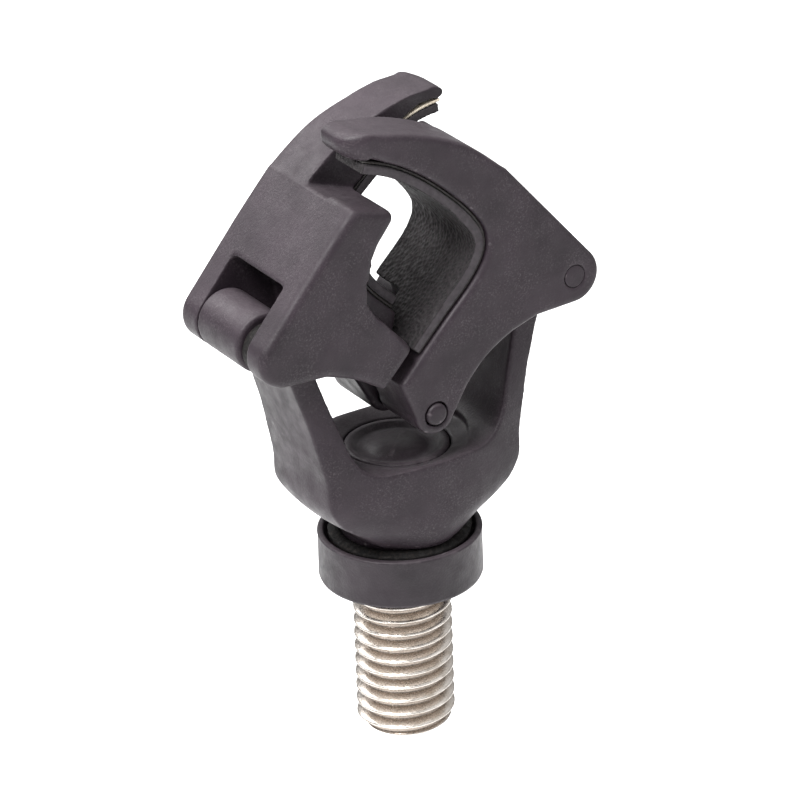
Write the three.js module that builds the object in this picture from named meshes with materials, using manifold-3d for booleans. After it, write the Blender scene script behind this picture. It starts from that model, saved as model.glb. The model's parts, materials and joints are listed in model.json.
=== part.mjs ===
// Rod rest clamp head: a yoke on a threaded stud, with two hinged claw jaws whose tails share one link pin.
// Millimetres, +Z up along the stud, X across the two arms, Y along the hinge pins; the origin is the centre
// of the stud's lower end face. The two jaws are one moulding, the left one turned half a turn about Z.
import * as THREE from "three";
import { mergeVertices } from "three/addons/utils/BufferGeometryUtils.js";
import Module from "manifold-3d";

const wasm = await Module();
wasm.setup();

// ---- driving dimensions ----
const CLEARANCE = 0.3; // between pieces that touch or turn in each other
const HALF_WIDTH = 7.75; // jaws, from the middle plane to either side face
const HALF_GAP = 0.4; // the tails keep this far from the middle plane
const SPLIT = { slope: 0.09, gap: 1.8 }; // seen from above the claws part along a slanting line
const STEP_Y = 4.3; // the liner ends here, and the body's short side plate begins

const HINGE = { x: 16.45, z: 47.5, pinRadius: 1.15 };
const EAR_RADIUS = 2.9;
const EAR_INSIDE = 4.75; // the ears' inner faces
const POCKET_RADIUS = 6.4; // room inside the jaw for the knuckle
const LINK = { z: 37.2, pinRadius: 1.15, tailRadius: 2.25, proud: 0.25 };
const OUTER_SLOPE = THREE.MathUtils.degToRad(49.8); // the jaw's straight outer edge

const THREAD = { pitch: 1.5, start: 0.77, depth: 0.92, chamfer: 0.9, top: 20.6 };
const STUD = { radius: 5, shankRadius: 3.9, headTop: 29.6 };
const STUD_HEAD = { acrossFlats: 9, height: 2.6 };
const LOCK_RING = { radius: 8.3, low: 16.7, high: 21.9, bore: 5.25, edge: 0.35, recessRadius: 7.6, recess: 1 };
const O_RING = { radius: 6.75, tube: 0.5 }; // lies round the neck in the lock ring's recess
const NECK = { radius: 5.95, low: 21.4, high: 23.4 };
const FLOOR = { z: 31.8, dish: 0.7, holeRadius: 5.4, plugHigh: 31.2, plugThick: 1.2 };
const KNUCKLE = { radius: 2.9, halfLength: 4.4, ringLength: 1.2, ringRadius: 2.55 };

const TAPE = [0.12, 0.42]; // offsets of the adhesive strip's two faces from the jaw's seat
const FOAM = [0.54, 1.5]; // offsets of the foam's two faces

const BLACK = new THREE.Color(0x4a454c);
const nylon = new THREE.MeshStandardMaterial({ color: BLACK, roughness: 0.55, metalness: 0 });
const steel = new THREE.MeshStandardMaterial({ color: 0xb9b2a6, roughness: 0.25, metalness: 1 });
const rubber = new THREE.MeshStandardMaterial({ color: 0x1c1a1b, roughness: 0.8, metalness: 0 });
const foam = new THREE.MeshStandardMaterial({ color: 0x2b2523, roughness: 0.95, metalness: 0 });
const adhesive = new THREE.MeshStandardMaterial({ color: 0xc9bfae, roughness: 0.7, metalness: 0 });

// ---- solids ----
function solid(geometry) {
  const bare = geometry.clone();
  bare.deleteAttribute("normal");
  bare.deleteAttribute("uv");
  const merged = mergeVertices(bare, 1e-4);
  return new wasm.Manifold(
    new wasm.Mesh({
      numProp: 3,
      vertProperties: new Float32Array(merged.attributes.position.array),
      triVerts: new Uint32Array(merged.index.array),
    }),
  );
}

function geometryOf(made) {
  const mesh = made.getMesh();
  const geometry = new THREE.BufferGeometry();
  geometry.setAttribute("position", new THREE.BufferAttribute(new Float32Array(mesh.vertProperties), 3));
  geometry.setIndex(new THREE.BufferAttribute(new Uint32Array(mesh.triVerts), 1));
  geometry.computeVertexNormals();
  return geometry;
}

// An outline drawn in X and Z, given thickness along Y from low to high.
function slab(shape, low, high, curveSegments = 3) {
  const geometry = new THREE.ExtrudeGeometry(shape, { depth: high - low, bevelEnabled: false, curveSegments });
  geometry.rotateX(Math.PI / 2);
  geometry.translate(0, high, 0);
  return solid(geometry);
}

// A round bar along Y.
function barY(x, z, radius, low, high, sides = 24) {
  const geometry = new THREE.CylinderGeometry(radius, radius, high - low, sides);
  geometry.translate(x, (low + high) / 2, z);
  return solid(geometry);
}

// A body of revolution about Z, from [radius, z] points that run upwards.
function turned(points, sides = 40) {
  const geometry = new THREE.LatheGeometry(
    points.map(([radius, z]) => new THREE.Vector2(radius, z)),
    sides,
  );
  geometry.rotateX(Math.PI / 2);
  return solid(geometry);
}

function shapeOf(points) {
  return new THREE.Shape(points.map(([x, z]) => new THREE.Vector2(x, z)));
}

// ---- the right jaw's outlines ----
// The seat is the concave line that carries the liner, from under the claw's tip down to the tail.
const seatCurve = new THREE.SplineCurve(
  [
    [-7.6, 65.9], [-4, 64.6], [-0.8, 62.65], [2.1, 60.25], [4.8, 57.5], [6.4, 54.9], [6.35, 52.6],
    [4.8, 50.1], [1.6, 46.9], [-1.1, 44.1], [-3.8, 41.2],
  ].map(([x, z]) => new THREE.Vector2(x, z)),
);
const SEAT_STEPS = 36;
const FOAM_START = 0.02; // shares of the seat's length
const FOAM_END = 0.9;
const WIDE_START = 0.36; // the full-width body lies between these shares
const WIDE_END = 0.7;

function seatPoints(from, to, offset = 0) {
  const count = Math.max(2, Math.round((to - from) * SEAT_STEPS));
  const points = [];
  for (let i = 0; i <= count; i++) {
    const u = from + ((to - from) * i) / count;
    const p = seatCurve.getPointAt(u);
    const t = seatCurve.getTangentAt(u);
    points.push([p.x + t.y * offset, p.y - t.x * offset]);
  }
  return points;
}

function earEdge(angle) {
  return [HINGE.x + EAR_RADIUS * Math.cos(angle), HINGE.z + EAR_RADIUS * Math.sin(angle)];
}

const EAR_TOP_ANGLE = Math.PI / 2 - OUTER_SLOPE;

// The point of the straight outer edge at a given x.
function outerEdge(x) {
  const [x0, z0] = earEdge(EAR_TOP_ANGLE);
  return [x, z0 + (x0 - x) * Math.tan(OUTER_SLOPE)];
}

function drawEar(shape) {
  shape.lineTo(...earEdge(EAR_TOP_ANGLE));
  shape.absarc(HINGE.x, HINGE.z, EAR_RADIUS, EAR_TOP_ANGLE, -Math.PI / 2, true);
}

// The half-width claw, body and tail in one outline.
function clawOutline() {
  const shape = new THREE.Shape();
  shape.moveTo(-8.1, 65.9);
  shape.lineTo(-8.9, 67.1);
  shape.quadraticCurveTo(-9, 68.5, -7.4, 68.4);
  const shoulder = [[-6, 68.1], [-2.7, 67.3], [0.6, 66.2], [3.9, 64.6], [6.3, 63], outerEdge(9.3)];
  shape.splineThru(shoulder.map(([x, z]) => new THREE.Vector2(x, z)));
  drawEar(shape);
  const lower = [[12, 44.4], [9, 43.4], [6, 41.6], [3.9, 39.4]];
  shape.splineThru(lower.map(([x, z]) => new THREE.Vector2(x, z)));
  shape.absarc(0, LINK.z, LINK.tailRadius, -0.35, -Math.PI, true);
  seatPoints(0, 1).reverse().forEach(([x, z]) => shape.lineTo(x, z));
  return shape;
}

// The body between the two ears; its inner edge is the seat, or the plate's own edge on the short side.
function bodyOutline(inner) {
  const shape = new THREE.Shape();
  shape.moveTo(...inner[0]);
  shape.lineTo(...outerEdge(8.7));
  drawEar(shape);
  shape.lineTo(12, 44.4);
  shape.lineTo(9.4, 43.7);
  [...inner].reverse().forEach(([x, z]) => shape.lineTo(x, z));
  return shape;
}

const PLATE_EDGE = [[5.2, 60.2], [4.8, 59.3], [6.4, 57.2], [7.3, 54.9], [7.8, 52], [6.9, 50.1], [5.9, 48.9]];

// What lies on the other claw's side of the slanting line.
function beyondSplit(margin) {
  const edge = [-12, 12].map((x) => [x, SPLIT.slope * x - SPLIT.gap - margin]);
  const plan = shapeOf([...edge, [12, 12], [-12, 12]]);
  const geometry = new THREE.ExtrudeGeometry(plan, { depth: 16, bevelEnabled: false });
  geometry.translate(0, 0, 56);
  return solid(geometry);
}

// The claw and the tail from one outline: the claw reaches the slanting line, the tail stops at the middle.
function makeHalf(shape, low, margin = 0) {
  const claw = slab(shape, low, 3).subtract(beyondSplit(margin));
  const belowClaw = shapeOf([[-12, 30], [20, 30], [20, 57], [-12, 57]]);
  return claw.subtract(slab(belowClaw, -HALF_GAP - margin, 4));
}

function makeJaw() {
  const pinHole = HINGE.pinRadius + CLEARANCE;
  return makeHalf(clawOutline(), -HALF_WIDTH)
    .add(slab(bodyOutline(seatPoints(WIDE_START, WIDE_END)), -HALF_WIDTH, STEP_Y))
    .add(slab(bodyOutline(PLATE_EDGE), STEP_Y - 0.5, HALF_WIDTH))
    .subtract(barY(HINGE.x, HINGE.z, POCKET_RADIUS, -EAR_INSIDE, EAR_INSIDE, 40))
    .subtract(barY(HINGE.x, HINGE.z, pinHole, -HALF_WIDTH - 1, HALF_WIDTH - 1.2))
    .subtract(barY(0, LINK.z, LINK.pinRadius + CLEARANCE, -HALF_WIDTH - 1, HALF_WIDTH));
}

// A strip that follows the seat: as wide as the claw and the tail, and wider across the body.
function makeStrip([near, far], inset) {
  const strip = (from, to) => shapeOf([...seatPoints(from, to, near), ...seatPoints(from, to, far).reverse()]);
  const side = inset - HALF_WIDTH;
  return makeHalf(strip(FOAM_START, FOAM_END), side, 0.1).add(
    slab(strip(WIDE_START + 0.01, WIDE_END - 0.01), side, STEP_Y - inset),
  );
}

// ---- the yoke ----
// Plan sections of the yoke's outside: corner x, corner y, middle y of the front, middle x of the side.
const SECTIONS = [
  { z: 22.4, x: 4.2, y: 4.4, front: 6.8, side: 5.6 },
  { z: 23, x: 5.1, y: 4.8, front: 7.2, side: 6.3 },
  { z: 24.2, x: 6.8, y: 5.2, front: 7.5, side: 7.75 },
  { z: 25.2, x: 8.3, y: 5.4, front: 7.6, side: 9.1 },
  { z: 26.4, x: 9.7, y: 5.45, front: 7.6, side: 10.25 },
  { z: 27.6, x: 10.45, y: 5.45, front: 7.6, side: 10.95 },
  { z: 29, x: 10.95, y: 5.4, front: 7.6, side: 11.4 },
  { z: 31.5, x: 11.2, y: 5.3, front: 7.55, side: 11.6 },
  { z: 34, x: 11.75, y: 5.1, front: 7.2, side: 12.1 },
  { z: 37.4, x: 12.55, y: 4.8, front: 6.2, side: 12.8 },
  { z: 40.2, x: 13.4, y: 4.6, front: 5.2, side: 13.55 },
  { z: 43, x: 14.35, y: 4.4, front: 4.6, side: 14.45 },
  { z: 46.4, x: 15.9, y: 4.4, front: 4.4, side: 15.95 },
];
const ARC_STEPS = 8;

// Points of the circular arc through a corner, the middle of a side and the next corner, without the last.
function bulge(half, corner, middle) {
  const rise = middle - corner;
  const points = [];
  for (let i = 0; i < ARC_STEPS; i++) {
    const t = -1 + (2 * i) / ARC_STEPS;
    points.push([half * t, corner + rise * (1 - t * t)]);
  }
  return points;
}

function sectionLoop({ x, y, front, side, z }) {
  const south = bulge(x, y, front).map(([a, b]) => [a, -b, z]);
  const east = bulge(y, x, side).map(([a, b]) => [b, a, z]);
  const north = south.map(([a, b]) => [-a, -b, z]);
  const west = east.map(([a, b]) => [-a, -b, z]);
  return [...south, ...east, ...north, ...west];
}

// Joins loops of equal length, from the lowest up, into one closed body.
function loft(loops) {
  const count = loops[0].length;
  const positions = loops.flat(2);
  const index = [];
  for (let k = 0; k + 1 < loops.length; k++) {
    for (let i = 0; i < count; i++) {
      const a = k * count + i;
      const b = k * count + ((i + 1) % count);
      index.push(a, b, b + count, a, b + count, a + count);
    }
  }
  [0, loops.length - 1].forEach((k, top) => {
    const centre = positions.length / 3;
    positions.push(0, 0, loops[k][0][2]);
    for (let i = 0; i < count; i++) {
      const a = k * count + i;
      const b = k * count + ((i + 1) % count);
      index.push(...(top ? [a, b, centre] : [b, a, centre]));
    }
  });
  const geometry = new THREE.BufferGeometry();
  geometry.setAttribute("position", new THREE.Float32BufferAttribute(positions, 3));
  geometry.setIndex(index);
  return solid(geometry);
}

// The U-shaped space between the arms, one half of its edge from the floor upwards.
function armSpace() {
  const right = [[5.6, 0], [7, 0.5], [8, 1.4], [8.8, 2.8], [9.4, 4.6], [10.6, 8.3], [11.5, 11.2], [12.7, 14.6]];
  const edge = right.map(([x, rise]) => [x, FLOOR.z + rise]);
  const left = edge.map(([x, z]) => [-x, z]).reverse();
  return slab(shapeOf([...edge, [12.7, 60], [-12.7, 60], ...left]), -12, 12);
}

function makeYoke() {
  const knuckle = (sign) => {
    const low = sign < 0 ? -KNUCKLE.halfLength + KNUCKLE.ringLength : -KNUCKLE.halfLength;
    const high = sign < 0 ? KNUCKLE.halfLength : KNUCKLE.halfLength - KNUCKLE.ringLength;
    return barY(sign * HINGE.x, HINGE.z, KNUCKLE.radius, low, high, 32);
  };
  const dish = turned([
    [0, FLOOR.z - FLOOR.dish], [FLOOR.holeRadius, FLOOR.z - FLOOR.dish], [7, FLOOR.z], [7, FLOOR.z + 1], [0, FLOOR.z + 1],
  ]);
  const plugHole = FLOOR.plugHigh - FLOOR.plugThick - CLEARANCE;
  const bore = turned([
    [0, NECK.low - 1], [STUD.shankRadius + 0.2, NECK.low - 1],
    [STUD.shankRadius + 0.2, STUD.headTop - STUD_HEAD.height - CLEARANCE],
    [FLOOR.holeRadius, STUD.headTop - STUD_HEAD.height - CLEARANCE],
    [FLOOR.holeRadius, plugHole], [FLOOR.holeRadius, FLOOR.z + 1], [0, FLOOR.z + 1],
  ]);
  const neck = turned([[0, NECK.low], [NECK.radius, NECK.low], [NECK.radius, NECK.high], [0, NECK.high]]);
  let yoke = loft(SECTIONS.map(sectionLoop)).subtract(armSpace());
  for (const sign of [-1, 1]) {
    const inside = KNUCKLE.radius + 0.2; // the ring's own space, cut out of the arm's top
    const ringLow = sign < 0 ? -KNUCKLE.halfLength - 1 : KNUCKLE.halfLength - KNUCKLE.ringLength;
    const ringHigh = sign < 0 ? -KNUCKLE.halfLength + KNUCKLE.ringLength : KNUCKLE.halfLength + 1;
    yoke = yoke.subtract(barY(sign * HINGE.x, HINGE.z, inside, ringLow, ringHigh, 32)).add(knuckle(sign));
  }
  yoke = yoke.add(neck).subtract(dish).subtract(bore);
  for (const sign of [-1, 1]) {
    yoke = yoke.subtract(barY(sign * HINGE.x, HINGE.z, HINGE.pinRadius + CLEARANCE, -9, 9));
  }
  return yoke;
}

function makeFloorPlug() {
  const low = FLOOR.plugHigh - FLOOR.plugThick;
  const radius = FLOOR.holeRadius - CLEARANCE / 2;
  return turned([
    [0, low], [radius, low], [radius, FLOOR.plugHigh], [4.5, FLOOR.plugHigh], [4.2, FLOOR.plugHigh - 0.4],
    [1.6, FLOOR.plugHigh - 0.4], [1.2, FLOOR.plugHigh - 0.1], [0, FLOOR.plugHigh - 0.1],
  ]);
}

// ---- the stud and what is on it ----
// The thread's radius at a height and a turn: a 60 degree ridge, cut down by the chamfers at both ends.
function threadRadius(z, angle) {
  const phase = (((z / THREAD.pitch - THREAD.start - angle / (2 * Math.PI)) % 1) + 1) % 1;
  const ridge = Math.min(1, Math.max(0, (Math.abs(phase - 0.5) - 0.09) / 0.32));
  const end = Math.min(z, THREAD.top - z);
  const limit = STUD.radius - Math.max(0, THREAD.chamfer - end);
  return Math.min(limit, STUD.radius - THREAD.depth * ridge);
}

function makeThread() {
  const sides = 28;
  const rows = Math.round(THREAD.top / (THREAD.pitch / 5));
  const loops = [];
  for (let k = 0; k <= rows; k++) {
    const z = (THREAD.top * k) / rows;
    const loop = [];
    for (let i = 0; i < sides; i++) {
      const angle = (2 * Math.PI * i) / sides;
      const radius = threadRadius(z, angle);
      loop.push([radius * Math.cos(angle), radius * Math.sin(angle), z]);
    }
    loops.push(loop);
  }
  return loft(loops);
}

function makeStud() {
  const headLow = STUD.headTop - STUD_HEAD.height;
  const shank = turned([
    [0, THREAD.top - 1], [STUD.shankRadius, THREAD.top - 1],
    [STUD.shankRadius, headLow + 0.1], [0, headLow + 0.1],
  ], 28);
  const corner = STUD_HEAD.acrossFlats / Math.sqrt(3);
  const head = new THREE.CylinderGeometry(corner, corner, STUD_HEAD.height, 6);
  head.rotateX(Math.PI / 2);
  head.translate(0, 0, STUD.headTop - STUD_HEAD.height / 2);
  return makeThread().add(shank).add(solid(head));
}

function makeLockRing() {
  const { radius, low, high, bore, edge, recessRadius, recess } = LOCK_RING;
  return turned([
    [bore, low], [radius - edge, low], [radius, low + edge], [radius, high - edge], [radius - edge, high],
    [recessRadius, high], [recessRadius, high - recess], [bore, high - recess], [bore, low],
  ], 48);
}

function makeNeckRing() {
  const geometry = new THREE.TorusGeometry(O_RING.radius, O_RING.tube, 8, 40);
  geometry.translate(0, 0, LOCK_RING.high - LOCK_RING.recess + CLEARANCE + O_RING.tube);
  return solid(geometry);
}

// ---- pins and rings of the hinges ----
// The right hinge pin runs from flush with the front ear to the bottom of the rear ear's blind hole.
function makeHingePin() {
  return barY(HINGE.x, HINGE.z, HINGE.pinRadius, -HALF_WIDTH, HALF_WIDTH - 1.5);
}

// The ring fills the space between the right knuckle's rear end and the rear ear.
function makeKnuckleRing() {
  const low = KNUCKLE.halfLength - KNUCKLE.ringLength + 0.1;
  return barY(HINGE.x, HINGE.z, KNUCKLE.ringRadius, low, KNUCKLE.halfLength, 28).subtract(
    barY(HINGE.x, HINGE.z, HINGE.pinRadius + 0.2, -9, 9),
  );
}

// The link pin sits in the right jaw's front tail, slightly proud of it, and ends short of the left tail.
function makeLinkPin() {
  return barY(0, LINK.z, LINK.pinRadius, -HALF_WIDTH - LINK.proud, HALF_GAP - CLEARANCE);
}

// ---- assembly ----
const root = new THREE.Group();
const leftSide = new THREE.Group(); // whatever is drawn for the right side, turned half a turn about Z
leftSide.rotation.z = Math.PI;
root.add(leftSide);

function place(parent, name, made, material) {
  const mesh = new THREE.Mesh(geometryOf(made), material);
  mesh.name = name;
  parent.add(mesh);
}

place(root, "yoke", makeYoke(), nylon);
place(root, "floor_plug", makeFloorPlug(), nylon);
place(root, "stud", makeStud(), steel);
place(root, "lock_ring", makeLockRing(), nylon);
place(root, "neck_o_ring", makeNeckRing(), rubber);
place(root, "link_pin", makeLinkPin(), nylon);
for (const [side, parent] of [["right", root], ["left", leftSide]]) {
  place(parent, "jaw_" + side, makeJaw(), nylon);
  place(parent, "liner_tape_" + side, makeStrip(TAPE, 0.15), adhesive);
  place(parent, "liner_" + side, makeStrip(FOAM, 0.25), foam);
  place(parent, "hinge_pin_" + side, makeHingePin(), nylon);
  place(parent, "knuckle_ring_" + side, makeKnuckleRing(), rubber);
}

export default root;
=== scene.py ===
import json
import math

import bmesh
import bpy
from mathutils import Matrix, Vector, noise


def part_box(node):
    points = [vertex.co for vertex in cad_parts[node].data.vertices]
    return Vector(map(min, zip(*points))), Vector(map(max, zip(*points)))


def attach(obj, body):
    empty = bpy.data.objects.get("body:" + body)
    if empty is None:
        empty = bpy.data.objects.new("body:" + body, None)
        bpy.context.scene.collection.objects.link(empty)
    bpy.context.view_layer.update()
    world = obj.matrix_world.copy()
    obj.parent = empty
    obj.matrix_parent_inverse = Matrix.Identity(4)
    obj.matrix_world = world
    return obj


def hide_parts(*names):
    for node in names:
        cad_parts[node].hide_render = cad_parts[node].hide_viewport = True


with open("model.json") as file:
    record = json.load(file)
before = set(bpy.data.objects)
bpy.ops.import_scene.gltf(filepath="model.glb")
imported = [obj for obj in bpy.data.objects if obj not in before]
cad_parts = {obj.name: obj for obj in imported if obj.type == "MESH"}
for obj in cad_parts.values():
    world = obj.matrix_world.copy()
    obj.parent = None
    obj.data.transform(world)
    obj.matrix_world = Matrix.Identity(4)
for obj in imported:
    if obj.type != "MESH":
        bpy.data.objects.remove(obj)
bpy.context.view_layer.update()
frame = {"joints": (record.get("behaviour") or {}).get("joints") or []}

# Lengths are millimetres while a piece is built; finish_piece turns them into metres.
MM = 0.001
TAU = 2 * math.pi


def joint(name):
    return next(j for j in frame["joints"] if j["name"] == name)


def node_box(name):
    low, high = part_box(name)
    return [v / MM for v in low], [v / MM for v in high]


# ---- sizes taken from the frame ----
HINGE_X, _, HINGE_Z = [v / MM for v in joint("right_jaw_hinge")["pos_m"]]
JAW_LOW, JAW_HIGH = node_box("jaw_right")
HALF_WIDTH = JAW_HIGH[1]
EAR = JAW_HIGH[0] - HINGE_X
PIN_LOW, PIN_HIGH = node_box("link_pin")
LINK_Z = (PIN_LOW[2] + PIN_HIGH[2]) / 2
PIN_RADIUS = (PIN_HIGH[2] - PIN_LOW[2]) / 2
TAIL_RADIUS = LINK_Z - JAW_LOW[2]
RING_LOW, RING_HIGH = node_box("lock_ring")
_, STUD_HIGH = node_box("stud")
ORING_LOW, ORING_HIGH = node_box("neck_o_ring")
_, YOKE_HIGH = node_box("yoke")
PLUG_LOW, PLUG_HIGH = node_box("floor_plug")
HINGE_PIN_LOW, HINGE_PIN_HIGH = node_box("hinge_pin_right")
HINGE_PIN_RADIUS = (HINGE_PIN_HIGH[2] - HINGE_PIN_LOW[2]) / 2
SPACER_LOW, SPACER_HIGH = node_box("knuckle_ring_right")
KNUCKLE = YOKE_HIGH[0] - HINGE_X

# ---- sizes of the moulding's detail ----
HALF_GAP = 0.4  # each jaw's tail ends this far from the middle plane
SPLIT_SLOPE, SPLIT_GAP = 0.09, 1.8  # seen from above the claws part along a slanting line
STEP_Y = 4.3  # the liner ends here, and the short side plate begins
EAR_INSIDE = 4.75
POCKET = 6.4
OUTER_SLOPE = math.radians(49.8)
SEAT = [
    (-7.6, 65.9), (-4, 64.6), (-0.8, 62.65), (2.1, 60.25), (4.8, 57.5), (6.4, 54.9), (6.35, 52.6),
    (4.8, 50.1), (1.6, 46.9), (-1.1, 44.1), (-3.8, 41.2),
]
WIDE_START = 0.36  # the jaw has its full width from this share of the seat on
FOAM_START, FOAM_END = 0.02, 0.9
TAPE = (0.05, 0.32)  # offsets of the tape's faces from the seat
FOAM = (0.36, 1.34)
PEEL_END = 0.16  # the left claw's strips lift off the seat before this share
THREAD = {"pitch": 1.5, "start": 0.77, "depth": 0.92, "chamfer": 0.9, "top": 20.6}


# ---- outlines, as (x, z) points ----
def spline(points, per=8):
    """A Catmull-Rom curve through the points."""
    out = []
    last = len(points) - 1
    for i in range(last):
        p0, p1 = points[max(i - 1, 0)], points[i]
        p2, p3 = points[i + 1], points[min(i + 2, last)]
        for k in range(per):
            t = k / per
            out.append(tuple(
                0.5 * (2 * b + (c - a) * t + (2 * a - 5 * b + 4 * c - d) * t * t
                       + (3 * b - a - 3 * c + d) * t ** 3)
                for a, b, c, d in zip(p0, p1, p2, p3)))
    out.append(tuple(points[last]))
    return out


def arc(x, z, radius, start, end, steps=16):
    angles = [start + (end - start) * i / steps for i in range(steps + 1)]
    return [(x + radius * math.cos(a), z + radius * math.sin(a)) for a in angles]


def along(points, start, end, count):
    """Evenly spaced points and tangents between two shares of a line's length."""
    lengths = [0.0]
    for a, b in zip(points, points[1:]):
        lengths.append(lengths[-1] + math.dist(a, b))
    out = []
    for i in range(count + 1):
        want = lengths[-1] * (start + (end - start) * i / count)
        k = max(j for j in range(len(lengths) - 1) if lengths[j] <= want + 1e-9)
        a, b = points[k], points[k + 1]
        t = (want - lengths[k]) / (lengths[k + 1] - lengths[k])
        span = math.dist(a, b)
        out.append(((a[0] + (b[0] - a[0]) * t, a[1] + (b[1] - a[1]) * t),
                    ((b[0] - a[0]) / span, (b[1] - a[1]) / span)))
    return out


SEAT_LINE = spline(SEAT, 12)


def seat(start, end, offset=0.0, count=60, peel=0.0):
    """Points beside the seat's line; peel is how far they lift off it at the claw's tip."""
    out = []
    for i, ((x, z), (tx, tz)) in enumerate(along(SEAT_LINE, start, end, count)):
        share = start + (end - start) * i / count
        d = offset + peel * max(0.0, 1 - share / PEEL_END) ** 1.5
        out.append((x + tz * d, z - tx * d))
    return out


EAR_TOP = math.pi / 2 - OUTER_SLOPE


def outer_edge(x):
    x0 = HINGE_X + EAR * math.cos(EAR_TOP)
    return x, HINGE_Z + EAR * math.sin(EAR_TOP) + (x0 - x) * math.tan(OUTER_SLOPE)


def ear_line():
    return arc(HINGE_X, HINGE_Z, EAR, EAR_TOP, -math.pi / 2, 24)


def claw_outline():
    nose = [
        (-7.7, 65.5), (-8.3, 66.0), (-8.9, 66.8), (-8.9, 67.7), (-8.3, 68.25), (-7.3, 68.38), (-6, 68.1),
    ]
    top = spline([*nose, (-2.7, 67.45), (0.6, 66.35), (3.9, 64.8), (6.3, 63.1), outer_edge(9.3)], 8)
    lower = spline([(14.6, 44.8), (12, 44.4), (9, 43.4), (6, 41.6), (3.9, 39.4)], 6)
    tail = arc(0, LINK_Z, TAIL_RADIUS, -0.35, -math.pi, 24)
    return [*top, *ear_line(), *lower, *tail, *reversed(seat(0, 1))]


def body_outline(inner):
    lower = [(12, 44.4), (9.2, 43.5), (7.4, 42.6), (5.5, 41.5)]
    return [outer_edge(8.9), *ear_line(), *lower, *reversed(inner)]


PLATE_EDGE = [
    (8.6, 61.15), (5.0, 60.4), (4.4, 59.9), (4.35, 59.2), (4.95, 58.3), (5.9, 57.0), (6.65, 55.4),
    (7.2, 53.6), (7.4, 52),
    (7.2, 50.8), (6.4, 49.5), (4.6, 47.5), (2.8, 45.5), (2.4, 44.8), (2.6, 44.4),
]


# ---- meshes ----
def mesh_object(name, verts, faces):
    mesh = bpy.data.meshes.new(name)
    mesh.from_pydata(verts, [], faces)
    bm = bmesh.new()
    bm.from_mesh(mesh)
    bmesh.ops.remove_doubles(bm, verts=bm.verts, dist=1e-5)
    bmesh.ops.recalc_face_normals(bm, faces=bm.faces)
    bm.to_mesh(mesh)
    bm.free()
    obj = bpy.data.objects.new(name, mesh)
    bpy.context.scene.collection.objects.link(obj)
    return obj


def inset(outline, distance):
    """The closed outline moved inwards, with its corners kept from running away."""
    area = sum(a[0] * b[1] - b[0] * a[1] for a, b in zip(outline, outline[1:] + outline[:1]))
    side = 1 if area > 0 else -1
    moved = []
    count = len(outline)
    for i in range(count):
        a, p, b = (Vector(outline[(i + k) % count]) for k in (-1, 0, 1))
        u, v = (p - a).normalized(), (b - p).normalized()
        n = Vector((-(u.y + v.y), u.x + v.x)) * side
        if n.length < 1e-6:
            moved.append(tuple(p))
            continue
        n.normalize()
        open_angle = max(0.5, abs(n.dot(Vector((-u.y, u.x)))))
        moved.append(tuple(p + n * distance / open_angle))
    return moved


def slab(name, outline, low, high, round_low=0.4, round_high=0.4, steps=5):
    """An outline with thickness along Y and rounded rims."""
    rings = []
    for i in range(steps + 1):
        a = math.pi / 2 * i / steps
        rings.append((low + round_low * (1 - math.sin(a)), round_low * (1 - math.cos(a))))
    rings.reverse()
    for i in range(steps + 1):
        a = math.pi / 2 * i / steps
        rings.append((high - round_high * (1 - math.sin(a)), round_high * (1 - math.cos(a))))
    verts = [(x, y, z) for y, d in rings for x, z in inset(outline, d)]
    n = len(outline)
    faces = [(k * n + i, k * n + (i + 1) % n, (k + 1) * n + (i + 1) % n, (k + 1) * n + i)
             for k in range(len(rings) - 1) for i in range(n)]
    faces += [tuple(range(n)), tuple(range(len(verts) - n, len(verts)))]
    return mesh_object(name, verts, faces)


def bar(x, z, radius, low, high, rim=0.15, sides=64, name="bar"):
    return slab(name, arc(x, z, radius, 0, TAU * (1 - 1 / sides), sides - 1), low, high, rim, rim, 4)


def turned(name, profile, sides=96, closed=False):
    """A body of revolution about Z from (radius, z) points; a closed profile makes a ring."""
    verts = [(r * math.cos(TAU * i / sides), r * math.sin(TAU * i / sides), z)
             for r, z in profile for i in range(sides)]
    rows = len(profile)
    last = rows if closed else rows - 1
    faces = []
    for k in range(last):
        for i in range(sides):
            j = (i + 1) % sides
            a, b = k * sides, ((k + 1) % rows) * sides
            faces.append((a + i, a + j, b + j, b + i))
    if not closed:
        faces += [tuple(range(sides)), tuple(range((rows - 1) * sides, rows * sides))]
    return mesh_object(name, verts, faces)


def loft(name, loops):
    n = len(loops[0])
    verts = [p for loop in loops for p in loop]
    faces = [(k * n + i, k * n + (i + 1) % n, (k + 1) * n + (i + 1) % n, (k + 1) * n + i)
             for k in range(len(loops) - 1) for i in range(n)]
    faces += [tuple(range(n)), tuple(range(len(verts) - n, len(verts)))]
    return mesh_object(name, verts, faces)


def applied(obj):
    graph = bpy.context.evaluated_depsgraph_get()
    mesh = bpy.data.meshes.new_from_object(obj.evaluated_get(graph))
    obj.modifiers.clear()
    obj.data = mesh
    return obj


def remesh(obj, voxel):
    mod = obj.modifiers.new("voxels", "REMESH")
    mod.mode = "VOXEL"
    mod.voxel_size = voxel
    return applied(obj)


def smooth(obj, repeat, factor=0.5):
    mod = obj.modifiers.new("smooth", "SMOOTH")
    mod.iterations = repeat
    mod.factor = factor
    return applied(obj)


def combine(obj, other, operation):
    mod = obj.modifiers.new("join", "BOOLEAN")
    mod.operation = operation
    mod.solver = "EXACT"
    mod.object = other
    applied(obj)
    bpy.data.objects.remove(other)
    return obj


def joined(objects):
    """One object that holds the shells of all of them."""
    base = objects[0]
    bm = bmesh.new()
    for obj in objects:
        bm.from_mesh(obj.data)
    bm.to_mesh(base.data)
    bm.free()
    for obj in objects[1:]:
        bpy.data.objects.remove(obj)
    return base


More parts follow.
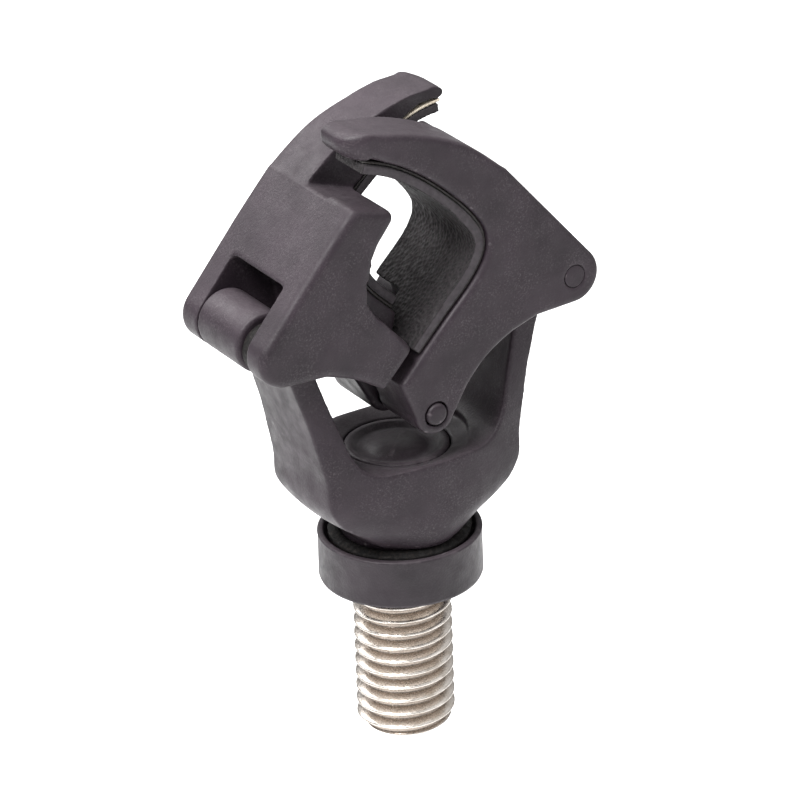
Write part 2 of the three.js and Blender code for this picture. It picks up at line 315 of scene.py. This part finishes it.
def finish_piece(obj, name, body, nodes, material, flip=False):
    """Scales the mesh to metres, turns a left hand copy round, puts the piece under its body's empty, hides
    the nodes it stands for and sets its look.

    Nothing that works in millimetres may touch the mesh afterwards.
    """
    obj.name = name
    obj.data.transform(Matrix.Scale(MM, 4))
    if flip:
        obj.data.transform(Matrix.Rotation(math.pi, 4, "Z"))
    obj.data.polygons.foreach_set("use_smooth", [True] * len(obj.data.polygons))
    obj.data.materials.clear()
    obj.data.materials.append(material)
    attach(obj, body)
    if nodes:
        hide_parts(*nodes)
    return obj


def copy_of(obj, name):
    twin = bpy.data.objects.new(name, obj.data.copy())
    bpy.context.scene.collection.objects.link(twin)
    return twin


# ---- materials ----
class Look:
    """A Principled material with helpers for its node tree. Patterns are in object space, in metres."""

    def __init__(self, name, color, roughness, metallic=0.0):
        self.material = bpy.data.materials.new(name)
        self.material.use_nodes = True
        self.tree = self.material.node_tree
        self.nodes, self.links = self.tree.nodes, self.tree.links
        self.shader = self.nodes["Principled BSDF"]
        self.shader.inputs["Base Color"].default_value = (*color, 1)
        self.shader.inputs["Roughness"].default_value = roughness
        self.shader.inputs["Metallic"].default_value = metallic
        self.place = self.nodes.new("ShaderNodeTexCoord").outputs["Object"]
        self.height = None

    def noise(self, size, detail=4.0, rough=0.55, distort=0.0, stretch=(1, 1, 1)):
        mapping = self.nodes.new("ShaderNodeMapping")
        mapping.inputs["Scale"].default_value = stretch
        self.links.new(self.place, mapping.inputs["Vector"])
        node = self.nodes.new("ShaderNodeTexNoise")
        self.links.new(mapping.outputs["Vector"], node.inputs["Vector"])
        node.inputs["Scale"].default_value = 1 / (size * MM)
        node.inputs["Detail"].default_value = detail
        node.inputs["Roughness"].default_value = rough
        node.inputs["Distortion"].default_value = distort
        return node.outputs["Fac"]

    def cells(self, size, feature="F1", randomness=1.0):
        node = self.nodes.new("ShaderNodeTexVoronoi")
        node.feature = feature
        self.links.new(self.place, node.inputs["Vector"])
        node.inputs["Scale"].default_value = 1 / (size * MM)
        node.inputs["Randomness"].default_value = randomness
        return node.outputs["Distance"]

    def remap(self, value, low, high, to_low=0.0, to_high=1.0):
        node = self.nodes.new("ShaderNodeMapRange")
        self.links.new(value, node.inputs["Value"])
        for key, number in zip(("From Min", "From Max", "To Min", "To Max"), (low, high, to_low, to_high)):
            node.inputs[key].default_value = number
        return node.outputs["Result"]

    def math(self, operation, a, b):
        node = self.nodes.new("ShaderNodeMath")
        node.operation = operation
        for socket, value in zip(node.inputs, (a, b)):
            if isinstance(value, (int, float)):
                socket.default_value = value
            else:
                self.links.new(value, socket)
        return node.outputs[0]

    def mix(self, amount, a, b):
        node = self.nodes.new("ShaderNodeMix")
        node.data_type = "RGBA"
        self.links.new(amount, node.inputs["Factor"])
        for socket, value in ((node.inputs["A"], a), (node.inputs["B"], b)):
            if isinstance(value, tuple):
                socket.default_value = (*value, 1)
            else:
                self.links.new(value, socket)
        return node.outputs["Result"]

    def color(self, value):
        self.links.new(value, self.shader.inputs["Base Color"])

    def roughness(self, value):
        self.links.new(value, self.shader.inputs["Roughness"])

    def bump(self, value, depth, strength=1.0):
        node = self.nodes.new("ShaderNodeBump")
        node.inputs["Distance"].default_value = depth * MM
        node.inputs["Strength"].default_value = strength
        self.links.new(value, node.inputs["Height"])
        if self.height:
            self.links.new(self.height, node.inputs["Normal"])
        self.height = node.outputs["Normal"]
        self.links.new(self.height, self.shader.inputs["Normal"])

    def pointiness(self, low, high):
        node = self.nodes.new("ShaderNodeNewGeometry")
        return self.remap(node.outputs["Pointiness"], low, high)

    def normal_part(self, axis):
        """One component of the piece's own surface normal, from -1 to 1."""
        node = self.nodes.new("ShaderNodeTexCoord")
        parts = self.nodes.new("ShaderNodeSeparateXYZ")
        self.links.new(node.outputs["Normal"], parts.inputs["Vector"])
        return parts.outputs[axis]

    def place_part(self, axis):
        parts = self.nodes.new("ShaderNodeSeparateXYZ")
        self.links.new(self.place, parts.inputs["Vector"])
        return parts.outputs[axis]

    def from_axis(self):
        """The distance from the stud's axis."""
        flat = self.nodes.new("ShaderNodeMapping")
        flat.inputs["Scale"].default_value = (1, 1, 0)
        self.links.new(self.place, flat.inputs["Vector"])
        length = self.nodes.new("ShaderNodeVectorMath")
        length.operation = "LENGTH"
        self.links.new(flat.outputs["Vector"], length.inputs[0])
        return length.outputs["Value"]


def nylon(name, tone=1.0, speckle=1.0):
    dark = tuple(v * tone for v in (0.0140, 0.0098, 0.0132))
    light = tuple(v * tone for v in (0.0245, 0.0172, 0.0228))
    # The pale tone serves the speckles, the edge wear and the painted light on upward faces.
    dust_and_top_light_tone = tuple(v * tone for v in (0.15, 0.13, 0.14))
    look = Look(name, dark, 0.5)
    cloud = look.remap(look.noise(7, 5), 0.35, 0.68)
    base = look.mix(cloud, dark, light)
    grain = look.noise(0.2, 3, 0.8)
    spots = look.remap(grain, 0.5, 0.85, 0, 0.42 * speckle)
    patches = look.remap(look.noise(4, 4), 0.36, 0.60)
    spots = look.math("MULTIPLY", spots, patches)
    wear = look.remap(look.noise(1.1, 4), 0.42, 0.66, 0, 0.45)
    edges = look.math("MULTIPLY", look.pointiness(0.525, 0.60), wear)
    worn = look.mix(look.math("MAXIMUM", spots, edges), base, dust_and_top_light_tone)
    # Upward faces are mixed towards the pale tone: partly dust, partly painted light on the tops.
    upward = look.remap(look.normal_part("Z"), 0.45, 0.95, 0, 0.16)
    top_dust_and_light = look.math("MULTIPLY", upward, look.remap(look.noise(0.7, 4), 0.2, 0.7, 0.5, 1))
    look.color(look.mix(top_dust_and_light, worn, dust_and_top_light_tone))
    look.roughness(look.remap(look.noise(1.6, 5), 0.3, 0.7, 0.40, 0.60))
    look.shader.inputs["Specular IOR Level"].default_value = 0.22
    look.bump(look.noise(0.25, 3, 0.7), 0.035, 0.9)
    look.bump(look.noise(2.2, 3), 0.05, 0.5)
    return look.material


def steel():
    look = Look("steel", (0.60, 0.55, 0.48), 0.25, 1.0)
    # The thread's roots get a much darker colour than its crests: painted shade and dark reflection in the
    # grooves.
    reach = look.remap(look.from_axis(), 4.2 * MM, 4.95 * MM)
    stain = look.remap(look.noise(1.4, 5, 0.6, 0, (1, 1, 2.5)), 0.45, 0.72)
    bright = look.mix(stain, (0.62, 0.58, 0.54), (0.42, 0.37, 0.32))
    look.color(look.mix(reach, (0.30, 0.255, 0.22), bright))
    look.roughness(look.remap(look.noise(0.5, 4, 0.6, 0, (1, 1, 5)), 0.3, 0.75, 0.16, 0.42))
    look.bump(look.noise(0.18, 4, 0.6, 0, (0.25, 0.25, 2)), 0.015, 0.7)
    return look.material


def rubber():
    look = Look("rubber", (0.014, 0.012, 0.012), 0.7)
    crumbs = look.remap(look.noise(0.35, 5, 0.7), 0.5, 0.75)
    look.color(look.mix(crumbs, (0.004, 0.0035, 0.0035), (0.022, 0.017, 0.015)))
    look.roughness(look.remap(look.noise(0.6, 4), 0.3, 0.7, 0.5, 0.9))
    look.shader.inputs["Specular IOR Level"].default_value = 0.2
    look.bump(look.noise(0.4, 5, 0.7), 0.15, 0.8)
    return look.material


def foam(name):
    look = Look(name, (0.035, 0.030, 0.028), 0.85)
    cell = look.cells(0.42)
    # The pebbles' pits are coloured darker than their rims: painted shade in the dimples.
    deep = look.remap(cell, 0.15, 0.55)
    face = look.mix(deep, (0.0025, 0.0018, 0.0021), (0.0110, 0.0078, 0.0092))
    mottle = look.remap(look.noise(0.5, 4), 0.35, 0.7)
    side = look.mix(mottle, (0.021, 0.0165, 0.0195), (0.033, 0.0265, 0.0315))
    # The liner's inner face is coloured far darker than its cut sides: partly the foam's own dark skin, partly
    # painted shade of the hollow between the jaws.
    cut = look.remap(look.math("ABSOLUTE", look.normal_part("Y"), 0), 0.55, 0.85)
    look.color(look.mix(cut, face, side))
    look.roughness(look.remap(look.noise(0.8, 4), 0.3, 0.7, 0.7, 0.95))
    rough = look.math("MULTIPLY", look.math("SUBTRACT", 1.0, cut), cell)
    look.bump(rough, 0.3, 0.7)
    look.bump(look.noise(0.25, 4, 0.7), 0.03, 0.5)
    return look.material


def tape():
    look = Look("tape", (0.62, 0.56, 0.47), 0.7)
    stain = look.remap(look.noise(0.6, 5, 0.7), 0.4, 0.7)
    stained_cream = look.mix(stain, (0.66, 0.59, 0.48), (0.33, 0.27, 0.20))
    height, across = look.place_part("Z"), look.place_part("Y")
    ragged = look.math("ADD", height, look.math("MULTIPLY", look.noise(0.8), MM))
    tip = look.remap(ragged, 64.4 * MM, 65.0 * MM)  # the cream strip shows only at the left claw's tip
    tip = look.math("MULTIPLY", tip, look.remap(across, -1 * MM, 0))
    # Away from the left claw's tip the strip is near black: painted shade in the groove between the jaw and
    # the liner.
    look.color(look.mix(tip, (0.018, 0.015, 0.014), stained_cream))
    look.roughness(look.remap(look.noise(0.4, 3), 0.3, 0.7, 0.5, 0.9))
    look.bump(look.noise(0.3, 4, 0.7), 0.1, 0.6)
    return look.material


NYLON = nylon("nylon")
RING_PLASTIC = nylon("ring_plastic", 0.85, 0.4)
PIN_NYLON = nylon("pin_nylon", 0.95, 0.1)
STEEL = steel()
RUBBER = rubber()
FOAM_LOOK = foam("foam")
TAPE_LOOK = tape()


# ---- the jaws ----
def beyond_split(margin):
    """What lies on the other claw's side of the slanting line, above the body."""
    edge = [(x, SPLIT_SLOPE * x - SPLIT_GAP - margin) for x in (-12, 12)]
    loop = [*edge, (12, 12), (-12, 12)]
    return loft("beyond", [[(x, y, z) for x, y in loop] for z in (57, 72)])


def make_half(name, outline, low, margin, rim_low, rim_high):
    """The claw and the tail from one outline: the claw ends at the slanting line, the tail at the middle."""
    half = slab(name, outline, low, -HALF_GAP - margin, rim_low, rim_high)
    return combine(half, beyond_split(margin), "DIFFERENCE")


def soft_pocket(jaw):
    """Rounds off the rim where the knuckle's pocket opens in the jaw's outer slope."""
    rim = jaw.vertex_groups.new(name="rim")
    for vert in jaw.data.vertices:
        reach = math.dist((vert.co.x, vert.co.z), (HINGE_X, HINGE_Z))
        if 4.6 < reach < 7.6 and abs(vert.co.y) < EAR_INSIDE and vert.co.z > HINGE_Z + 2:
            rim.add([vert.index], 1.0, "REPLACE")
    mod = jaw.modifiers.new("soften", "SMOOTH")
    mod.iterations = 60
    mod.factor = 0.6
    mod.vertex_group = "rim"
    return applied(jaw)


def make_jaw():
    claw = make_half("claw", claw_outline(), -HALF_WIDTH, 0, 0.55, 0.35)
    body = slab("body", body_outline([*seat(WIDE_START, 0.76), (2.9, 44.3)]), -HALF_WIDTH, STEP_Y, 0.55, 0.1)
    plate = slab("plate", body_outline(PLATE_EDGE), STEP_Y - 1.2, HALF_WIDTH, 0.3, 0.85, 7)
    jaw = remesh(joined([claw, body, plate]), 0.2)
    pocket = bar(HINGE_X, HINGE_Z, POCKET, -EAR_INSIDE, EAR_INSIDE, 0.3, name="pocket")
    jaw = combine(jaw, pocket, "DIFFERENCE")
    hinge_hole = bar(HINGE_X, HINGE_Z, HINGE_PIN_RADIUS + 0.03, -HALF_WIDTH - 1, HALF_WIDTH - 1.3)
    jaw = combine(jaw, hinge_hole, "DIFFERENCE")
    jaw = combine(jaw, bar(0, LINK_Z, PIN_RADIUS + 0.16, -HALF_WIDTH - 1, HALF_WIDTH), "DIFFERENCE")
    return soft_pocket(smooth(remesh(jaw, 0.15), 2))


def make_strip(name, offsets, margin, rim, peel, wide_end):
    near, far = offsets

    def outline(start, end):
        return [*seat(start, end, near, 60, peel), *reversed(seat(start, end, far, 60, peel))]

    side = margin - HALF_WIDTH
    narrow = make_half(name, outline(FOAM_START, FOAM_END), side, 0.1, rim, 0.05)
    wide = slab(name, outline(WIDE_START + 0.01, wide_end), side, STEP_Y - 0.1, rim, rim)
    return joined([narrow, wide])


def round_nose(obj):
    """Rounds the claw's outer corner at the tip, as seen from above."""
    for vert in obj.data.vertices:
        side = min(1.0, max(0.0, (2.6 - HALF_WIDTH - vert.co.y) / 2.6))
        reach = min(1.0, max(0.0, (-4.5 - vert.co.x) / 4.4)) if vert.co.z > 60 else 0.0
        vert.co.x += 2.0 * side ** 2 * reach
    return obj


DROOP, TAIL_DROP = math.radians(4.5), math.radians(2.0)
TIP_LIFT = 1.5  # how far the underside of the left claw's tip is raised


def settle(obj, shorter=0.72):
    """The left jaw's own shape: its claw is thinner below, droops and is short, and its tail hangs lower."""
    for vert in obj.data.vertices:
        x, z = vert.co.x, vert.co.z
        if x < 0.5 and z > 58:
            top = 68.1 - 0.018 * (x + 8) ** 2
            under = min(1.0, max(0.0, (top - z) / 2.8))
            z += TIP_LIFT * min(1.0, (0.5 - x) / 3) * under
        claw = DROOP * min(1.0, max(0.0, (13 - x) / 22)) * min(1.0, max(0.0, (z - 50) / 6))
        tail = TAIL_DROP * min(1.0, max(0.0, (45 - z) / 5))
        cos, sin = math.cos(claw + tail), math.sin(claw + tail)
        x, z = x - HINGE_X, z - HINGE_Z
        vert.co.x = HINGE_X + x * cos - z * sin
        vert.co.z = HINGE_Z + x * sin + z * cos
        if vert.co.x < -3 and vert.co.z > 58:
            vert.co.x = -3 + (vert.co.x + 3) * shorter
    return obj


jaw_right = round_nose(make_jaw())
jaw_left = settle(copy_of(jaw_right, "jaw_left_shell"))
finish_piece(jaw_right, "jaw_right_shell", "jaw_right", ["jaw_right"], NYLON)
finish_piece(jaw_left, "jaw_left_shell", "jaw_left", ["jaw_left"], NYLON, flip=True)

for side_name, flip in (("right", False), ("left", True)):
    body_name = "jaw_" + side_name
    peel, wide_end = (0.5, 0.74) if flip else (0.0, 0.78)
    liner = smooth(remesh(make_strip("liner", FOAM, 0.3, 0.25, peel, wide_end), 0.15), 1)
    strip = remesh(make_strip("strip", TAPE, 0.6, 0.05, peel * 0.8, wide_end), 0.12)
    if flip:
        settle(liner, 0.85)
        settle(strip, 0.92)
    finish_piece(liner, "liner_foam_" + side_name, body_name, ["liner_" + side_name], FOAM_LOOK, flip)
    tapes = ["liner_tape_" + side_name]
    finish_piece(strip, "liner_tape_and_shade_" + side_name, body_name, tapes, TAPE_LOOK, flip)
    pin = bar(HINGE_X, HINGE_Z, HINGE_PIN_RADIUS, HINGE_PIN_LOW[1] + 0.02, HINGE_PIN_HIGH[1], 0.12)
    pins = ["hinge_pin_" + side_name]
    finish_piece(pin, "hinge_pin_bar_" + side_name, "yoke", pins, PIN_NYLON, flip)
    spacer_radius = (SPACER_HIGH[2] - SPACER_LOW[2]) / 2
    spacer = bar(HINGE_X, HINGE_Z, spacer_radius, SPACER_LOW[1], SPACER_HIGH[1] + 0.25, 0.2)
    spacer = combine(spacer, bar(HINGE_X, HINGE_Z, HINGE_PIN_RADIUS + 0.1, -9, 9), "DIFFERENCE")
    rings = ["knuckle_ring_" + side_name]
    finish_piece(spacer, "knuckle_spacer_" + side_name, "yoke", rings, RUBBER, flip)

link = bar(0, LINK_Z, PIN_RADIUS, PIN_LOW[1], PIN_HIGH[1], 0.45)
finish_piece(link, "link_pin_bar", "jaw_right", ["link_pin"], PIN_NYLON)


# ---- the yoke ----
# Plan sections: height, corner x, corner y, middle y of the front, middle x of the side.
SECTIONS = [
    (22.35, 4.1, 4.4, 6.8, 5.4), (22.95, 5.0, 4.8, 7.2, 6.1), (24.2, 6.4, 5.2, 7.5, 7.3),
    (25.2, 7.9, 5.4, 7.6, 8.65), (26.4, 9.5, 5.45, 7.6, 10.05), (27.6, 10.45, 5.45, 7.6, 10.95),
    (29, 11.05, 5.4, 7.6, 11.5),
    (31.5, 11.2, 5.3, 7.55, 11.6), (34, 11.75, 5.1, 7.2, 12.1), (37.4, 12.55, 4.8, 6.2, 12.8),
    (40.2, 13.4, 4.6, 5.2, 13.55), (43, 14.35, 4.4, 4.6, 14.45), (46.4, 15.9, 4.4, 4.4, 15.95),
]
FLOOR_Z = 31.8


def section_loop(z, x, y, front, side, steps=20):
    def bulge(half, corner, middle):
        shares = [-1 + 2 * i / steps for i in range(steps)]
        return [(half * t, corner + (middle - corner) * (1 - t * t)) for t in shares]

    south = [(a, -b, z) for a, b in bulge(x, y, front)]
    east = [(b, a, z) for a, b in bulge(y, x, side)]
    return [*south, *east, *[(-a, -b, z) for a, b, _ in south], *[(-a, -b, z) for a, b, _ in east]]


def make_yoke():
    yoke = loft("yoke", [section_loop(*s) for s in spline(SECTIONS, 5)])
    right = [(5.6, 0), (7, 0.5), (8, 1.4), (8.8, 2.8), (9.4, 4.6), (10.6, 8.3), (11.5, 11.2), (12.7, 14.6)]
    edge = spline([(x, FLOOR_Z + rise) for x, rise in right], 6)
    mirrored = [(-x, z) for x, z in reversed(edge)]
    space = slab("space", [*edge, (12.7, 60), (-12.7, 60), *mirrored], -12, 12, 0.1, 0.1)
    yoke = combine(yoke, space, "DIFFERENCE")
    parts = [yoke]
    for sign in (-1, 1):
        near = sign * SPACER_LOW[1] - sign * 0.1
        far = -sign * 4.4
        low, high = min(near, far), max(near, far)
        cutter = bar(sign * HINGE_X, HINGE_Z, KNUCKLE + 0.2, *((-6, low) if sign < 0 else (high, 6)), 0.05)
        yoke = combine(yoke, cutter, "DIFFERENCE")
        parts.append(bar(sign * (HINGE_X - 0.1), HINGE_Z + 0.2, KNUCKLE + 0.2, low, high, 0.3))
    neck = turned("neck", [(5.95, 21.4), (5.95, 23.6)])
    yoke = remesh(joined([*parts, neck]), 0.2)
    dish = turned("dish", [(5.4, FLOOR_Z - 0.7), (7.2, FLOOR_Z), (7.2, FLOOR_Z + 1)])
    yoke = combine(yoke, dish, "DIFFERENCE")
    hole = turned("hole", [(5.4, 29.7), (5.4, FLOOR_Z + 1)])
    yoke = combine(yoke, hole, "DIFFERENCE")
    return smooth(remesh(yoke, 0.16), 2)


finish_piece(make_yoke(), "yoke_shell", "yoke", ["yoke"], NYLON)

plug_radius, plug_top = PLUG_HIGH[0], PLUG_HIGH[2]
plug = turned("plug", [
    (plug_radius, PLUG_LOW[2]), (plug_radius, plug_top - 0.15), (plug_radius - 0.2, plug_top), (4.5, plug_top),
    (4.2, plug_top - 0.45), (2.9, plug_top - 0.45), (2.7, plug_top - 0.15), (0.05, plug_top - 0.15),
])
finish_piece(plug, "floor_plug_disc", "yoke", ["floor_plug"], NYLON)


# ---- the stud, lock ring and rubber ring ----
def make_stud():
    pitch, start, depth, chamfer, top = (THREAD[k] for k in ("pitch", "start", "depth", "chamfer", "top"))
    radius = STUD_HIGH[0]
    sides = 96
    rows = int(top / pitch * 20)
    loops = []
    for k in range(rows + 1):
        z = top * k / rows
        loop = []
        for i in range(sides):
            turn = i / sides
            phase = (z / pitch - start - turn) % 1
            ridge = min(1, max(0, (abs(phase - 0.5) - 0.05) / 0.33))
            ridge = ridge * ridge * (3 - 2 * ridge) * 0.35 + ridge * 0.65
            limit = radius - max(0, chamfer - min(z, top - z))
            r = min(limit, radius - depth * ridge)
            loop.append((r * math.cos(TAU * turn), r * math.sin(TAU * turn), z))
        loops.append(loop)
    return loft("stud", loops)


finish_piece(make_stud(), "stud_thread_body", "yoke", ["stud"], STEEL)

ring_radius = RING_HIGH[0]
low_z, high_z = RING_LOW[2], RING_HIGH[2]
ring = turned("ring", [
    (5.05, low_z + 0.5), (5.6, low_z + 0.02), (ring_radius - 0.45, low_z), (ring_radius - 0.14, low_z + 0.1),
    (ring_radius - 0.02, low_z + 0.4), (ring_radius - 0.06, high_z - 0.34), (ring_radius, high_z - 0.24),
    (ring_radius - 0.03, high_z - 0.12), (ring_radius - 0.16, high_z - 0.03), (ring_radius - 0.4, high_z),
    (7.75, high_z), (7.6, high_z - 0.15), (7.6, high_z - 1), (5.05, high_z - 1),
], closed=True)
finish_piece(ring, "lock_ring_body", "lock_ring", ["lock_ring"], RING_PLASTIC)

inner, outer = 6.1, ORING_HIGH[0]
low_z, high_z = ORING_LOW[2], ORING_HIGH[2]
o_ring = turned("o_ring", [
    (inner, low_z), (outer - 0.4, low_z), (outer - 0.1, low_z + 0.15), (outer, low_z + 0.4),
    (outer - 0.02, low_z + 0.7), (outer - 0.15, high_z - 0.25), (outer - 0.45, high_z - 0.02),
    (outer - 0.8, high_z + 0.05), (inner, high_z),
    (inner, (low_z + high_z) / 2),
], 240, closed=True)
for vert in o_ring.data.vertices:
    chips = noise.noise(vert.co * 1.3) * 0.12 + noise.noise(vert.co * 3.1) * 0.06
    flat = Vector((vert.co.x, vert.co.y, 0)).normalized()
    vert.co += flat * (chips - 0.06) + Vector((0, 0, min(0.0, chips) * 0.8))
finish_piece(o_ring, "neck_ring_rubber", "yoke", ["neck_o_ring"], RUBBER)


# ---- floor, light and camera ----
def plain(name, color, roughness):
    return Look(name, color, roughness).material


FLOOR_DEPTH = -0.15  # well under the stud, so that the object's shadow falls outside the view
floor_corners = [(x, y, FLOOR_DEPTH) for x, y in ((-3, -3), (3, -3), (3, 3), (-3, 3))]
floor = mesh_object("floor", floor_corners, [(0, 1, 2, 3)])
floor.data.materials.append(plain("floor", (0.93, 0.93, 0.93), 0.9))


def area_light(name, place, size, power, target=(0, 0, 0.04)):
    data = bpy.data.lights.new(name, "AREA")
    data.shape = "DISK"
    data.size = size
    data.energy = power
    light = bpy.data.objects.new(name, data)
    bpy.context.scene.collection.objects.link(light)
    light.location = place
    light.rotation_euler = (Vector(target) - Vector(place)).to_track_quat("-Z", "Y").to_euler()
    return light


area_light("key", (-0.5, -0.15, 0.75), 0.45, 14.5)
area_light("top", (0.05, 0.05, 0.95), 0.6, 5)
area_light("fill", (0.55, -0.5, 0.35), 0.5, 0.5)
area_light("rim", (-0.2, 0.6, 0.5), 0.4, 3)

world = bpy.data.worlds.new("world")
bpy.context.scene.world = world
world.use_nodes = True
sky, sky_links = world.node_tree.nodes, world.node_tree.links
direction = sky.new("ShaderNodeSeparateXYZ")
sky_links.new(sky.new("ShaderNodeTexCoord").outputs["Generated"], direction.inputs["Vector"])
height = sky.new("ShaderNodeMapRange")
for key, number in zip(("From Min", "From Max", "To Min", "To Max"), (0, 0.9, 0.18, 1.3)):
    height.inputs[key].default_value = number
sky_links.new(direction.outputs["Z"], height.inputs["Value"])
sky_links.new(height.outputs["Result"], sky["Background"].inputs["Strength"])
sky["Background"].inputs["Color"].default_value = (1, 1, 1, 1)

AZIMUTH, ELEVATION, ROLL = math.radians(-31.5), math.radians(25.9), math.radians(2.03)
DISTANCE, LENS, SENSOR = 500, 226.8, 36
STAND_Z, SHIFT_RIGHT, SHIFT_UP = 30, 0.3, 5.15  # the view's middle: off the stud's axis, from this height

ground = math.cos(ELEVATION)
back = Vector((math.sin(AZIMUTH) * ground, -math.cos(AZIMUTH) * ground, math.sin(ELEVATION)))
level = Vector((math.cos(AZIMUTH), math.sin(AZIMUTH), 0))
upright = back.cross(level)
right = level * math.cos(ROLL) - upright * math.sin(ROLL)
up = level * math.sin(ROLL) + upright * math.cos(ROLL)
eye = (Vector((0, 0, STAND_Z)) + back * DISTANCE + right * SHIFT_RIGHT + up * SHIFT_UP) * MM

camera_data = bpy.data.cameras.new("camera")
camera_data.lens = LENS
camera_data.sensor_width = SENSOR
camera_data.clip_start = 0.01
camera = bpy.data.objects.new("camera", camera_data)
bpy.context.scene.collection.objects.link(camera)
camera.matrix_world = Matrix.Translation(eye) @ Matrix((right, up, back)).transposed().to_4x4()
bpy.context.scene.camera = camera

bpy.context.scene.view_settings.view_transform = "Standard"
